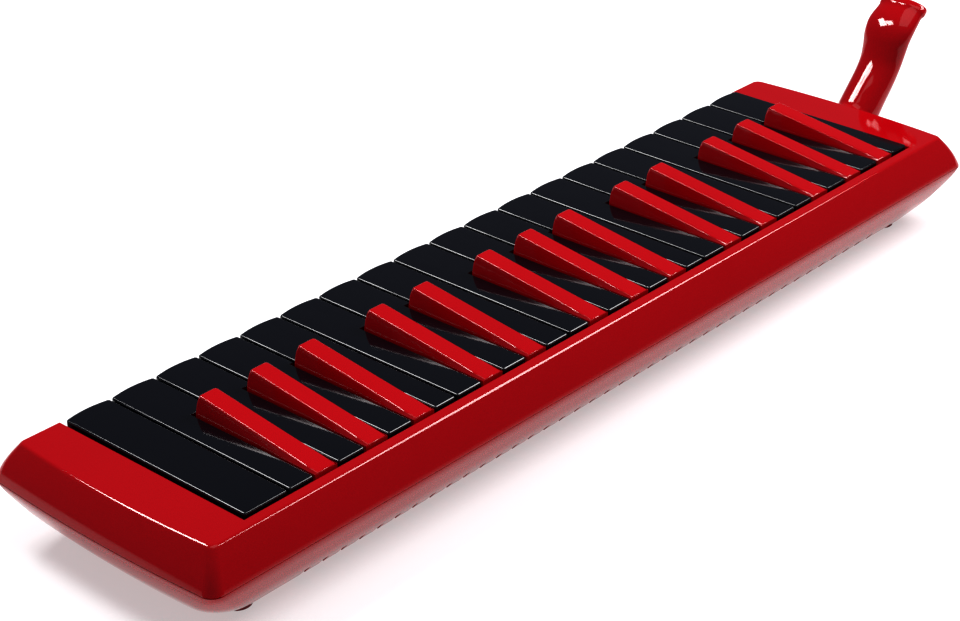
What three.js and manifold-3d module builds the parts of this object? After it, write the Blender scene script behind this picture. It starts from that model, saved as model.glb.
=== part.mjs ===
// Melodica: a breath-blown free-reed keyboard with 32 keys, as a three.js scene graph.
// Millimetres, +Z up. +X runs toward the high notes, +Y toward the rear rail. The four
// feet stand on Z = 0 and the origin lies under the middle of the bounding box.

import * as THREE from 'three';
import { mergeVertices } from 'three/addons/utils/BufferGeometryUtils.js';
import Module from 'manifold-3d';

const wasm = await Module();
wasm.setup();

// ---------------------------------------------------------------- driving dimensions

const FIT = 0.3;                       // air gap between pieces that touch

const KEY_PITCH = 20.5;                // natural to natural
const NATURALS = 19;                   // F to C, two and a half octaves
const KEY_GAP = 0.9;                   // slit between two naturals
const KEY_TOP = 40;                    // top of the naturals above the table
const KEY_FRONT = -46.7;               // front corners of the naturals
const KEY_BOW = 1.2;                   // how far their fronts bow out
const KEY_REAR = 44.25;
const CAP_DEPTH = 5.4;                 // height of a key's side walls
const CAP_WALL = 1.5;
const LIP_DEPTH = 9;                   // front lip of a natural
const NOTCH_CLEARANCE = 0.65;          // between a sharp and the naturals beside it

const SHARP_FRONT = -16.2;              // at the foot
const SHARP_LEAN = 2.5;                // the front face rounds back this far at the top
const SHARP_REAR = 44.2;
const SHARP_RISE = 7.6;                // front top above the naturals
const SHARP_TOP_HALF = 4.05;
const SHARP_BASE_HALF = 5.2;
// A sharp's centre, from the line between its two naturals
const SHARP_OFFSET = { 'C#': -2.1, 'D#': 1.3, 'F#': -3.7, 'G#': -0.7, 'A#': 3.1 };

const AXLE = { y: 22.5, z: 29, r: 1.25 };
const AXLE_BORE = 1.75;
const BORE_SIDES = 8;

const TOP_Z = 38.9;                    // top plate of the case
const SEAM_Z = 23;                     // where the two shells meet
const BOTTOM_Z = 3;
const TOP_HALF_LENGTH = 216.6;         // at the middle of the bowed ends
const TOP_HALF_WIDTH = 50.5;
const END_BOW = 2.3;
// How far the wall stands out past the top edge at each height
const WALL_PROFILE = [
  [38.9, 0], [37, 1.7], [34.5, 3.8], [31.5, 5.6], [28.5, 6.6], [25, 7], [23, 6.6],
  [21, 5.6], [17, 3.1], [13, 0.6], [9, -2.5], [6, -5.2], [3, -7.8],
];
const CORNER_R = 5;
const WALL = 2.2;

const SLOT_HALF_LENGTH = 195.35;       // the keyboard's opening in the top
const SLOT_REAR = 45.2;
const RAIL_Z = 31;                     // top of the low rail in front of the keys

const MOUTH_Y = -5;                    // the mouthpiece's plane
const SOCKET = { z: 26.5, bore: 7.4, r: 9.2, from: -219.4, to: -203 };

const BOARD = { half: 195, y0: 12, y1: 46, z0: 22.3, z1: 24.3 };
const CHAMBER = { half: 195, y0: 27, y1: 45, z0: 9, z1: 20.9 };
const VALVE_Y = 36.5;
const DUCT = { x0: -211, x1: -203, y0: -14, y1: 41, z0: 11, z1: 19, wall: 1.5 };

const FEET = { x: 192.4, y: 35.2, r: 5.5 };
const CORNER_SCREW = { x: 199.3, y: 22, headZ: 6.2, tipZ: 34 };
const CENTRE_SCREW = { x: 65, y: 18, headZ: 6.2, tipZ: 20 };
const SCREW_SHANK = 1.2;
const SCREW_HEAD = 2.6;
const BOSS_R = 2.9;

const STOP_RIB_FROM = 10.5;             // the rib under the keys' stop grows out of the front wall
const VENTS = { count: 39, pitch: 8.9, width: 2.4, y0: 34.5, y1: 46 };
const SPIT = { y: 25, z: 15, r: 4, stem: 1.5 };

// ------------------------------------------------------------------------- materials

const plastic = (color, roughness) => new THREE.MeshStandardMaterial({ color, roughness, metalness: 0 });
const metal = (color, roughness) => new THREE.MeshStandardMaterial({ color, roughness, metalness: 1 });

const CASE_RED = plastic(0xb00012, 0.16);
const KEY_BLACK = plastic(0x0b0c11, 0.14);
const KEY_RED = plastic(0xb00012, 0.2);
const INNER_GREY = plastic(0x8d9094, 0.55);
const FELT = plastic(0x7d1220, 0.95);
const RUBBER = plastic(0x1d1d1f, 0.85);
const FOOT_RED = plastic(0x5e0a18, 0.7);
const BRASS = metal(0xc9a052, 0.3);
const STEEL = metal(0xb9bcc0, 0.3);

// ------------------------------------------------------------------ solids and joins

function solid(geometry) {
  const bare = geometry.clone();
  for (const name of Object.keys(bare.attributes)) {
    if (name !== 'position') bare.deleteAttribute(name);
  }
  const merged = mergeVertices(bare, 1e-4);
  return new wasm.Manifold(new wasm.Mesh({
    numProp: 3,
    vertProperties: new Float32Array(merged.attributes.position.array),
    triVerts: new Uint32Array(merged.index.array),
  }));
}

function toGeometry(body) {
  const mesh = body.getMesh();
  const geometry = new THREE.BufferGeometry();
  geometry.setAttribute('position', new THREE.BufferAttribute(mesh.vertProperties, 3));
  geometry.setIndex(new THREE.BufferAttribute(mesh.triVerts, 1));
  geometry.computeVertexNormals();
  return geometry;
}

const joined = (...bodies) => bodies.reduce((sum, body) => sum.add(body));
const cut = (body, ...tools) => tools.reduce((rest, tool) => rest.subtract(tool), body);

function box(x0, x1, y0, y1, z0, z1) {
  const geometry = new THREE.BoxGeometry(x1 - x0, y1 - y0, z1 - z0);
  return solid(geometry.translate((x0 + x1) / 2, (y0 + y1) / 2, (z0 + z1) / 2));
}

// An upright cylinder from z0 to z1
function post(x, y, z0, z1, r, sides = 12) {
  const geometry = new THREE.CylinderGeometry(r, r, z1 - z0, sides);
  return solid(geometry.rotateX(Math.PI / 2).translate(x, y, (z0 + z1) / 2));
}

// A cylinder along X from x0 to x1
function bar(x0, x1, y, z, r, sides = 12) {
  const geometry = new THREE.CylinderGeometry(r, r, x1 - x0, sides);
  return solid(geometry.rotateZ(Math.PI / 2).translate((x0 + x1) / 2, y, z));
}

// An outline in X and Y, raised from z0 to z1
function raised(points, z0, z1) {
  const shape = new THREE.Shape(points.map(([x, y]) => new THREE.Vector2(x, y)));
  const geometry = new THREE.ExtrudeGeometry(shape, { depth: z1 - z0, bevelEnabled: false });
  return solid(geometry.translate(0, 0, z0));
}

// An outline in Y and Z, carried along X from x0 to x1
function profileAlongX(points, x0, x1) {
  const shape = new THREE.Shape(points.map(([y, z]) => new THREE.Vector2(y, z)));
  const geometry = new THREE.ExtrudeGeometry(shape, { depth: x1 - x0, bevelEnabled: false });
  const axes = new THREE.Matrix4().makeBasis(
    new THREE.Vector3(0, 1, 0), new THREE.Vector3(0, 0, 1), new THREE.Vector3(1, 0, 0));
  return solid(geometry.applyMatrix4(axes).translate(x0, 0, 0));
}

// A closed skin over a stack of rings that all have the same number of points
function loft(rings) {
  const count = rings[0].length;
  const positions = rings.flat().flatMap((p) => [p.x, p.y, p.z]);
  const index = [];
  for (let level = 0; level + 1 < rings.length; level += 1) {
    for (let i = 0; i < count; i += 1) {
      const a = level * count + i;
      const b = level * count + (i + 1) % count;
      index.push(a, b, b + count, a, b + count, a + count);
    }
  }
  const last = (rings.length - 1) * count;
  for (let i = 1; i + 1 < count; i += 1) {
    index.push(0, i + 1, i, last, last + i, last + i + 1);
  }
  const geometry = new THREE.BufferGeometry();
  geometry.setAttribute('position', new THREE.BufferAttribute(new Float32Array(positions), 3));
  geometry.setIndex(index);
  return solid(geometry);
}

const melodica = new THREE.Group();

function addPart(name, body, material) {
  const mesh = new THREE.Mesh(toGeometry(body), material);
  mesh.name = name;
  melodica.add(mesh);
}

// ------------------------------------------------------------------------- keyboard

// Centre of the line between natural i - 1 and natural i
const edgeX = (i) => (i - NATURALS / 2) * KEY_PITCH;

const LETTERS = ['F', 'G', 'A', 'B', 'C', 'D', 'E'];
const noteOf = (i) => LETTERS[i % 7] + (3 + Math.floor((i + 3) / 7));

// The sharps, each over the line in front of natural i
const sharps = [];
for (let i = 1; i < NATURALS; i += 1) {
  const below = LETTERS[(i - 1) % 7];
  const offset = SHARP_OFFSET[below + '#'];
  if (offset !== undefined) {
    sharps.push({ edge: i, x: edgeX(i) + offset, name: below + 's' + noteOf(i - 1).slice(1) });
  }
}

// The narrow rear stretch of a natural, between the sharps beside it
function rearStretch(i) {
  const left = sharps.find((s) => s.edge === i);
  const right = sharps.find((s) => s.edge === i + 1);
  const reach = SHARP_BASE_HALF + NOTCH_CLEARANCE;
  return [
    left ? left.x + reach : edgeX(i) + KEY_GAP / 2,
    right ? right.x - reach : edgeX(i + 1) - KEY_GAP / 2,
  ];
}

// Lever under a key: a web with the axle's bore, and the pad that shuts the key's valve
function lever(x) {
  const web = profileAlongX([
    [8, 31], [14, 29], [18.5, 25.8], [27, 25.8], [30, 26.1], [43, 26.1], [43, 38.6], [8, 38.6],
  ], x - 1.6, x + 1.6);
  const pad = box(x - 4.1, x + 4.1, VALVE_Y - 5, VALVE_Y + 5, BOARD.z1 + FIT, 26.3);
  return joined(web, pad);
}

const axleBore = (x) => bar(x - 5, x + 5, AXLE.y, AXLE.z, AXLE_BORE, BORE_SIDES);

function naturalKey(i) {
  const x0 = edgeX(i) + KEY_GAP / 2;
  const x1 = edgeX(i + 1) - KEY_GAP / 2;
  const [r0, r1] = rearStretch(i);
  const notch = SHARP_FRONT - NOTCH_CLEARANCE - 0.4;
  const bowSteps = 4;
  const front = [];
  for (let step = 0; step <= bowSteps; step += 1) {
    const t = step / bowSteps;
    front.push([x0 + t * (x1 - x0), KEY_FRONT - KEY_BOW * 4 * t * (1 - t)]);
  }
  const plan = [...front];
  if (r1 < x1) plan.push([x1, notch], [r1, notch]);
  plan.push([r1, KEY_REAR], [r0, KEY_REAR]);
  if (r0 > x0) plan.push([r0, notch], [x0, notch]);
  const ceiling = KEY_TOP - 1.8;
  const cap = raised(plan, KEY_TOP - CAP_DEPTH, KEY_TOP);
  const lip = raised([...front, [x1, KEY_FRONT + 1], [x0, KEY_FRONT + 1]],
    KEY_TOP - LIP_DEPTH, KEY_TOP - 1);
  const frontRoom = box(x0 + CAP_WALL, x1 - CAP_WALL, KEY_FRONT + CAP_WALL, notch - CAP_WALL,
    KEY_TOP - CAP_DEPTH - 1, ceiling);
  const rearRoom = box(r0 + CAP_WALL, r1 - CAP_WALL, notch - CAP_WALL - 1, KEY_REAR - CAP_WALL,
    KEY_TOP - CAP_DEPTH - 1, ceiling);
  const x = (r0 + r1) / 2;
  return cut(joined(cut(joined(cap, lip), frontRoom, rearRoom), lever(x)), axleBore(x));
}

function sharpKey({ x }) {
  const base = KEY_TOP - CAP_DEPTH - 0.6;
  const ring = (half, front, rear, zFront, zRear) => [
    new THREE.Vector3(x - half, front, zFront),
    new THREE.Vector3(x + half, front, zFront),
    new THREE.Vector3(x + half, rear, zRear),
    new THREE.Vector3(x - half, rear, zRear),
  ];
  const outer = loft([
    ring(SHARP_BASE_HALF, SHARP_FRONT, SHARP_REAR, base, base),
    ring(SHARP_BASE_HALF, SHARP_FRONT, SHARP_REAR, KEY_TOP - 0.4, KEY_TOP - 0.4),
    ring(SHARP_BASE_HALF - 0.6, SHARP_FRONT + 0.5, SHARP_REAR, KEY_TOP + 4.4, KEY_TOP),
    ring(SHARP_TOP_HALF, SHARP_FRONT + SHARP_LEAN, SHARP_REAR, KEY_TOP + SHARP_RISE, KEY_TOP + 0.2),
  ]);
  const room = loft([
    ring(SHARP_BASE_HALF - 1.4, SHARP_FRONT + 1.6, SHARP_REAR - 1.6, base - 1, base - 1),
    ring(SHARP_BASE_HALF - 2.2, SHARP_FRONT + 3.4, SHARP_REAR - 1.6, KEY_TOP + 5, KEY_TOP - 1.6),
  ]);
  return cut(joined(cut(outer, room), lever(x)), axleBore(x));
}

for (let i = 0; i < NATURALS; i += 1) addPart(`key_${noteOf(i)}`, naturalKey(i), KEY_BLACK);
for (const sharp of sharps) addPart(`key_${sharp.name}`, sharpKey(sharp), KEY_RED);

const leverX = [];
for (let i = 0; i < NATURALS; i += 1) {
  const [r0, r1] = rearStretch(i);
  leverX.push((r0 + r1) / 2);
}
for (const sharp of sharps) leverX.push(sharp.x);
leverX.sort((a, b) => a - b);

// ----------------------------------------------------------------------------- case

function reachAt(z) {
  const low = WALL_PROFILE.findIndex(([height]) => height <= z);
  if (low < 0) return WALL_PROFILE.at(-1)[1];
  if (low === 0) return WALL_PROFILE[0][1];
  const [[z1, reach1], [z0, reach0]] = [WALL_PROFILE[low - 1], WALL_PROFILE[low]];
  return reach0 + ((z - z0) / (z1 - z0)) * (reach1 - reach0);
}

// The case's outline at height z: a rectangle with bowed ends and round corners
function caseRing(z, inset = 0) {
  const grow = reachAt(z) - inset;
  const hx = TOP_HALF_LENGTH - END_BOW + grow;
  const hy = TOP_HALF_WIDTH + grow;
  const r = CORNER_R;
  const points = [];
  const bow = (y) => END_BOW * (1 - (y / hy) ** 2);
  const corner = (sx, sy, from) => {
    for (let step = 0; step <= 3; step += 1) {
      const angle = from + (step / 3) * (Math.PI / 2);
      const x = sx * (hx - r) + r * Math.cos(angle);
      const y = sy * (hy - r) + r * Math.sin(angle);
      points.push([x + Math.sign(x) * bow(y), y]);
    }
  };
  const side = (sign) => {
    for (let step = 1; step < 6; step += 1) {
      const y = sign * (step / 3 - 1) * (hy - r);
      points.push([sign * (hx + bow(y)), y]);
    }
  };
  side(1);
  corner(1, 1, 0);
  corner(-1, 1, Math.PI / 2);
  side(-1);
  corner(-1, -1, Math.PI);
  corner(1, -1, Math.PI * 1.5);
  return points.map(([x, y]) => new THREE.Vector3(x, y, z));
}

const caseBody = (heights, inset = 0) => loft(heights.map((z) => caseRing(z, inset)));
// The profile's heights between two others, both included
const heightsFrom = (low, high) => [low,
  ...WALL_PROFILE.map(([z]) => z).filter((z) => z > low && z < high).reverse(), high];

const socketHole = () => bar(-225, -200, MOUTH_Y, SOCKET.z, SOCKET.r + 0.4, 20);
const spitHole = () => bar(-225, -213, SPIT.y, SPIT.z, SPIT.r + 0.4, 14);
const cornerSpots = [[-1, -1], [1, -1], [1, 1], [-1, 1]]
  .map(([sx, sy]) => [sx * CORNER_SCREW.x, sy * CORNER_SCREW.y]);
const centreSpots = [[-CENTRE_SCREW.x, CENTRE_SCREW.y], [CENTRE_SCREW.x, CENTRE_SCREW.y]];

function caseTop() {
  const skin = caseBody(heightsFrom(SEAM_Z + FIT / 2, TOP_Z));
  const room = caseBody(heightsFrom(SEAM_Z - 1, TOP_Z - WALL), WALL);
  const slot = box(-SLOT_HALF_LENGTH, SLOT_HALF_LENGTH, -70, SLOT_REAR, RAIL_Z, 50);
  const cheeks = [-1, 1].map((side) => {
    const x = side * (SLOT_HALF_LENGTH + 0.65);
    return box(x - 0.65, x + 0.65, -50.4, SLOT_REAR + 1.3, RAIL_Z, TOP_Z - 0.5);
  });
  const rearSkirt = box(-SLOT_HALF_LENGTH, SLOT_HALF_LENGTH, SLOT_REAR, SLOT_REAR + 1.3,
    RAIL_Z, TOP_Z - 0.5);
  const railFlange = box(-206, 206, -55.4, -49.1, RAIL_Z - WALL, RAIL_Z);
  const bosses = cornerSpots.map(([x, y]) => post(x, y, SEAM_Z + FIT, TOP_Z - 1, BOSS_R));
  const pilots = cornerSpots.map(([x, y]) => post(x, y, SEAM_Z - 1, CORNER_SCREW.tipZ + 0.5,
    SCREW_SHANK + FIT));
  const frame = joined(cut(skin, room, slot), ...cheeks, rearSkirt, railFlange, ...bosses);
  return cut(frame, socketHole(), ...pilots);
}

function caseBottom() {
  const skin = caseBody(heightsFrom(BOTTOM_Z, SEAM_Z - FIT / 2));
  const room = caseBody(heightsFrom(BOTTOM_Z + WALL, SEAM_Z + 1), WALL);
  const stopRib = box(-192, 192, -47.6, -43.6, STOP_RIB_FROM, 24.9);
  const cradles = [-150, -50, 50, 150]
    .map((x) => box(x - 1, x + 1, CHAMBER.y0 + 1, CHAMBER.y1 - 3, BOTTOM_Z + 1, CHAMBER.z0 - FIT));
  const spots = [...cornerSpots, ...centreSpots];
  const posts = [
    ...cornerSpots.map(([x, y]) => post(x, y, BOTTOM_Z + 1, SEAM_Z - 0.15, BOSS_R)),
    ...spots.map(([x, y]) => post(x, y, BOTTOM_Z + 1, 10.2, SCREW_HEAD + 1.9)),
  ];
  const recesses = spots.map(([x, y]) => post(x, y, BOTTOM_Z - 1, CORNER_SCREW.headZ + 2.2,
    SCREW_HEAD + FIT + 0.1));
  const shankHoles = spots.map(([x, y]) => post(x, y, BOTTOM_Z - 1, SEAM_Z + 1, SCREW_SHANK + FIT));
  const pegHoles = footSpots().map(([x, y]) => post(x, y, BOTTOM_Z - 1, 7, 2.3));
  const vents = [];
  for (let k = 0; k < VENTS.count; k += 1) {
    const x = (k - (VENTS.count - 1) / 2) * VENTS.pitch;
    vents.push(box(x - VENTS.width / 2, x + VENTS.width / 2, VENTS.y0, VENTS.y1, 0, 8.4));
  }
  const frame = joined(cut(skin, room), stopRib, ...cradles, ...posts);
  return cut(frame, socketHole(), spitHole(), ...recesses, ...shankHoles, ...pegHoles, ...vents);
}

function footSpots() {
  return [[-1, -1], [1, -1], [1, 1], [-1, 1]].map(([sx, sy]) => [sx * FEET.x, sy * FEET.y]);
}

addPart('case_top', caseTop(), CASE_RED);
addPart('case_bottom', caseBottom(), CASE_RED);

footSpots().forEach(([x, y], k) => {
  const disc = post(x, y, 0, BOTTOM_Z - FIT, FEET.r, 20);
  const peg = post(x, y, 1, BOTTOM_Z + WALL + 1, 2, 10);
  addPart(`foot_${k + 1}`, joined(disc, peg), FOOT_RED);
});

function caseScrew([x, y], { headZ, tipZ }) {
  const head = post(x, y, headZ, headZ + 1.9, SCREW_HEAD);
  const shank = post(x, y, headZ + 1, tipZ, SCREW_SHANK, 8);
  const slots = [box(x - 1.5, x + 1.5, y - 0.3, y + 0.3, headZ - 1, headZ + 0.9),
    box(x - 0.3, x + 0.3, y - 1.5, y + 1.5, headZ - 1, headZ + 0.9)];
  return cut(joined(head, shank), ...slots);
}

cornerSpots.forEach((spot, k) => addPart(`case_screw_${k + 1}`, caseScrew(spot, CORNER_SCREW), STEEL));
centreSpots.forEach((spot, k) => addPart(`board_screw_${k + 1}`, caseScrew(spot, CENTRE_SCREW), STEEL));

// ---------------------------------------------------------------- valves and reeds

function valveBoard() {
  const plate = box(-BOARD.half, BOARD.half, BOARD.y0, BOARD.y1, BOARD.z0, BOARD.z1);
  // Axle stands in the gaps between B and C and between E and F, and at both ends
  const gaps = [4, 7, 11, 14, 18].map(edgeX);
  const stands = [-192.6, ...gaps, 192.6]
    .map((x) => box(x - 1.4, x + 1.4, 19.2, 25.8, BOARD.z1 - 1, 32));
  const bosses = centreSpots.map(([x, y]) => post(x, y, 12, BOARD.z0 + 1, BOSS_R + 0.2));
  const pilots = centreSpots.map(([x, y]) => post(x, y, 10, CENTRE_SCREW.tipZ + 0.5,
    SCREW_SHANK + FIT));
  const ports = leverX.map((x) => box(x - 2.6, x + 2.6, VALVE_Y - 3.6, VALVE_Y + 3.6, 20, 26));
  const bore = bar(-200, 200, AXLE.y, AXLE.z, AXLE.r + FIT + 0.05, BORE_SIDES);
  return cut(joined(plate, ...stands, ...bosses), bore, ...pilots, ...ports);
}

// A brass plate with a slot and a riveted tongue for each note
function reedPlate(x0, x1) {
  const z0 = 21;
  const plate = box(x0, x1, VALVE_Y - 5.6, VALVE_Y + 5.6, z0, BOARD.z0 - FIT);
  const mine = leverX.filter((x) => x > x0 && x < x1);
  const slots = mine.map((x) => box(x - 1.7, x + 1.7, VALVE_Y - 4.2, VALVE_Y + 3, z0 - 1, 24));
  const tongues = mine.map((x) => {
    const reach = 8.4 - 1.6 * (x / BOARD.half + 1);
    return profileAlongX([
      [VALVE_Y + 4.6, z0 + 0.1], [VALVE_Y + 4.6, z0 - 0.5], [VALVE_Y + 4.2 - reach, z0 - 0.6],
      [VALVE_Y + 4.2 - reach, z0 - 0.35], [VALVE_Y + 3.2, z0 - 0.2], [VALVE_Y + 3.2, z0 + 0.1],
    ], x - 1.2, x + 1.2);
  });
  return joined(cut(plate, ...slots), ...tongues);
}

function chamberCover() {
  const { half, y0, y1, z0, z1 } = CHAMBER;
  const tray = cut(box(-half, half, y0, y1, z0, z1),
    box(-half + 1.6, half - 1.6, y0 + 1.8, y1 - 1.8, z0 + 1.8, z1 + 1));
  return cut(tray, box(-half - 1, -half + 3, VALVE_Y - 4, VALVE_Y + 1, 12.5, 17.5));
}

addPart('valve_board', valveBoard(), INNER_GREY);
addPart('reed_plate_low', reedPlate(-192, -0.3), BRASS);
addPart('reed_plate_high', reedPlate(0.3, 192), BRASS);
addPart('chamber_gasket', cut(
  box(-CHAMBER.half, CHAMBER.half, CHAMBER.y0, CHAMBER.y1, CHAMBER.z1 + FIT, BOARD.z0 - FIT),
  box(-CHAMBER.half + 2.4, CHAMBER.half - 2.4, VALVE_Y - 6, VALVE_Y + 6, 20, 24)), RUBBER);
addPart('chamber_cover', chamberCover(), INNER_GREY);
addPart('key_axle', bar(-193.8, 193.8, AXLE.y, AXLE.z, AXLE.r, BORE_SIDES), STEEL);

// One strip of spring steel with a finger under every lever, ahead of the axle
function springComb() {
  const strip = box(-191, 191, BOARD.y0 + 0.4, BOARD.y0 + 4.4, BOARD.z1 + FIT, BOARD.z1 + 0.8);
  const fingers = leverX.map((x) => profileAlongX([
    [BOARD.y0 + 1, 24.7], [BOARD.y0 + 1.4, 25], [9.4, 29.6], [8, 29.9], [8, 29.5], [9.1, 29.2],
  ], x - 1.2, x + 1.2));
  return joined(strip, ...fingers);
}

addPart('spring_comb', springComb(), STEEL);
addPart('key_stop_felt', box(-192, 192, -48, -43.2, 25.2, 26.4), FELT);

// ------------------------------------------------------------ air inlet, mouthpiece

function inletSocket() {
  const { x0, x1, y0, y1, z0, z1, wall } = DUCT;
  const tube = bar(SOCKET.from, x1, MOUTH_Y, SOCKET.z, SOCKET.r, 20);
  const neck = box(x0, x1, MOUTH_Y - SOCKET.r, MOUTH_Y + SOCKET.r, z0, SOCKET.z);
  const duct = box(x0, x1, y0, y1, z0, z1);
  const stub = box(x1 - 1, -CHAMBER.half - FIT, VALVE_Y - 6, VALVE_Y + 3, 11, 19);
  const bore = bar(SOCKET.from - 1, x1 - wall, MOUTH_Y, SOCKET.z, SOCKET.bore, 20);
  const neckRoom = box(x0 + wall, x1 - wall, MOUTH_Y - SOCKET.r + wall, MOUTH_Y + SOCKET.r - wall,
    z0 + wall, SOCKET.z);
  const ductRoom = box(x0 + wall, x1 - wall, y0 + wall, y1 - wall, z0 + wall, z1 - wall);
  const stubRoom = box(x1 - wall - 1, -190, VALVE_Y - 4, VALVE_Y + 1, 12.5, 17.5);
  const stemHole = bar(x0 - 1, x0 + wall + 0.5, SPIT.y, SPIT.z, SPIT.stem + FIT + 0.1, 10);
  return cut(joined(tube, neck, duct, stub), bore, neckRoom, ductRoom, stubRoom, stemHole);
}

addPart('inlet_socket', inletSocket(), INNER_GREY);

// The mouthpiece's centre line: place in X and Z, climb in degrees, half width along Y
// and half depth across
const MOUTH_STATIONS = [
  { x: -206, z: SOCKET.z, climb: 0, wide: 6.9, deep: 6.9 },
  { x: -221, z: SOCKET.z, climb: 0, wide: 6.9, deep: 6.9 },
  { x: -221, z: SOCKET.z, climb: 0, wide: 9, deep: 9 },
  { x: -222, z: SOCKET.z, climb: 0, wide: 9, deep: 9 },
  { x: -225.6, z: 27, climb: 15, wide: 9.1, deep: 8.8 },
  { x: -229, z: 28.4, climb: 30, wide: 9.1, deep: 8.4 },
  { x: -232, z: 30.9, climb: 43, wide: 9.2, deep: 8.1 },
  { x: -237.4, z: 36.2, climb: 45, wide: 9.4, deep: 7.7 },
  { x: -243, z: 42, climb: 48, wide: 9.8, deep: 7.1 },
  { x: -247.4, z: 47.8, climb: 60, wide: 10.4, deep: 6.6 },
  { x: -250, z: 54, climb: 72, wide: 11.4, deep: 6.1 },
  { x: -252, z: 60.5, climb: 68, wide: 12.5, deep: 5.6 },
  { x: -255.6, z: 65.6, climb: 48, wide: 13.4, deep: 5.2 },
  { x: -261.6, z: 69.6, climb: 32, wide: 13.9, deep: 5.1 },
  { x: -262.2, z: 70, climb: 30, wide: 14.6, deep: 5.7 },
  { x: -265.2, z: 71.6, climb: 30, wide: 14.6, deep: 5.6 },
];

// Rings across the centre line; shrink thins them, and past lengthens both ends
function mouthRings(stations, shrink, past) {
  const sides = 16;
  return stations.map((station, k) => {
    const climb = THREE.MathUtils.degToRad(station.climb);
    const along = new THREE.Vector2(-Math.cos(climb), Math.sin(climb));
    let shift = 0;
    if (k === 0) shift = -past;
    if (k === stations.length - 1) shift = past;
    const ring = [];
    for (let i = 0; i < sides; i += 1) {
      const angle = (i / sides) * 2 * Math.PI;
      const y = (station.wide - shrink) * Math.cos(angle);
      const d = (station.deep - shrink) * Math.sin(angle);
      ring.push(new THREE.Vector3(
        station.x + along.x * shift - along.y * d, MOUTH_Y + y,
        station.z + along.y * shift + along.x * d));
    }
    return ring;
  });
}

const RIM_START = MOUTH_STATIONS.length - 2;

function mouthpiece() {
  const outer = loft(mouthRings(MOUTH_STATIONS, 0, 0));
  const airway = MOUTH_STATIONS.filter((_, k) => k !== 1 && k !== 2 && k !== RIM_START)
    .map((s) => ({ ...s, wide: Math.min(s.wide, 13.9), deep: Math.min(s.deep, 7.2) }));
  const bore = loft(mouthRings(airway, 2.1, 1));
  const groove = cut(bar(-211.2, -208.6, MOUTH_Y, SOCKET.z, 9, 20),
    bar(-212, -208, MOUTH_Y, SOCKET.z, 5.9, 20));
  return cut(outer, bore, groove);
}

addPart('mouthpiece', mouthpiece(), CASE_RED);
addPart('mouthpiece_seal', cut(bar(-210.9, -208.9, MOUTH_Y, SOCKET.z, 7, 20),
  bar(-212, -208, MOUTH_Y, SOCKET.z, 6.3, 20)), RUBBER);

// ---------------------------------------------------------------------- spit valve

const SPIT_WALL = DUCT.x0 + DUCT.wall;
addPart('spit_valve_button', joined(
  bar(-219.2, -216.9, SPIT.y, SPIT.z, SPIT.r, 16),
  bar(-217.5, SPIT_WALL + 0.9, SPIT.y, SPIT.z, SPIT.stem, 10)), CASE_RED);
addPart('spit_valve_seal', bar(SPIT_WALL + 1.2, SPIT_WALL + 2.2, SPIT.y, SPIT.z, 2.4, 12), RUBBER);

class Coil extends THREE.Curve {
  getPoint(t, target = new THREE.Vector3()) {
    const angle = t * 2.5 * 2 * Math.PI;
    return target.set(-216.2 + 4.5 * t, SPIT.y + 2.5 * Math.cos(angle), SPIT.z + 2.5 * Math.sin(angle));
  }
}

const wireShape = new THREE.Shape().absarc(0, 0, 0.3, 0, 2 * Math.PI);
addPart('spit_valve_spring', solid(new THREE.ExtrudeGeometry(wireShape, {
  steps: 20, curveSegments: 3, extrudePath: new Coil(), bevelEnabled: false,
})), STEEL);

// Stand the part with the origin under the middle of its bounding box
const bounds = new THREE.Box3().setFromObject(melodica);
melodica.position.x = -(bounds.min.x + bounds.max.x) / 2;
melodica.position.y = -(bounds.min.y + bounds.max.y) / 2;
melodica.updateMatrixWorld(true);

export default melodica;
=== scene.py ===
# %% [markdown]
# # A melodica: red case, black naturals, red sharps
# A melodica is a small reed organ blown by mouth. Its working parts already stand in the frame
# that this script loads, each one on the body that it moves with. The frame gives the true
# places and sizes, so everything below is made straight into those places, in metres, and
# nothing is fitted by hand afterwards.

# %% Load the frame
import math

import bmesh
import bpy
from mathutils import Matrix, Vector


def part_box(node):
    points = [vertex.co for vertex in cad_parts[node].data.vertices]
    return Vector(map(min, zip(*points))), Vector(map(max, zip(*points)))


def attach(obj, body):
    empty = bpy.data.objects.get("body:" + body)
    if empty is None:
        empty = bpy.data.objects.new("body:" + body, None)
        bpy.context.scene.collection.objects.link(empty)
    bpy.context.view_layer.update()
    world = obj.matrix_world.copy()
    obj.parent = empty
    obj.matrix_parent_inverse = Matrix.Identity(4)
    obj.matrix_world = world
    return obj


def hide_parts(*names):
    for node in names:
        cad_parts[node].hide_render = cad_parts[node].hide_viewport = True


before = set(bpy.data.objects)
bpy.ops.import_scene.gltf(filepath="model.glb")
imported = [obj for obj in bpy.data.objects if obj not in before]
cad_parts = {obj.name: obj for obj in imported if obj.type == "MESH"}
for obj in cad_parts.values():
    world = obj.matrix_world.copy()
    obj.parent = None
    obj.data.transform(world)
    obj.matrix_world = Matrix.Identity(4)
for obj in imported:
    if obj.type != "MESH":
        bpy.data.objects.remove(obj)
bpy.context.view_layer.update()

MM = 0.001
CORNERS = ((-1, -1), (1, -1), (1, 1), (-1, 1))
scene = bpy.context.scene

# %% [markdown]
# ## The camera
# The instrument lies flat and is seen from above its far right corner, through a long lens, so
# its edges run almost parallel. A camera can be aimed with a Track To constraint or with angles.
# Three unit vectors, for right, down and forward, leave nothing to chance: they are simply the
# columns of the camera's matrix.

# %% Place the camera
case_low, case_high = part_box("case_top")
CENTRE_X = (case_low[0] + case_high[0]) / 2 / MM
EYE = (0.61957 + CENTRE_X * MM, 0.54150, 0.45960)
RIGHT = (-0.67214, 0.74031, -0.01299)
DOWN = (0.35554, 0.30732, -0.88269)
FORWARD = (-0.64947, -0.59791, -0.46977)

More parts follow.
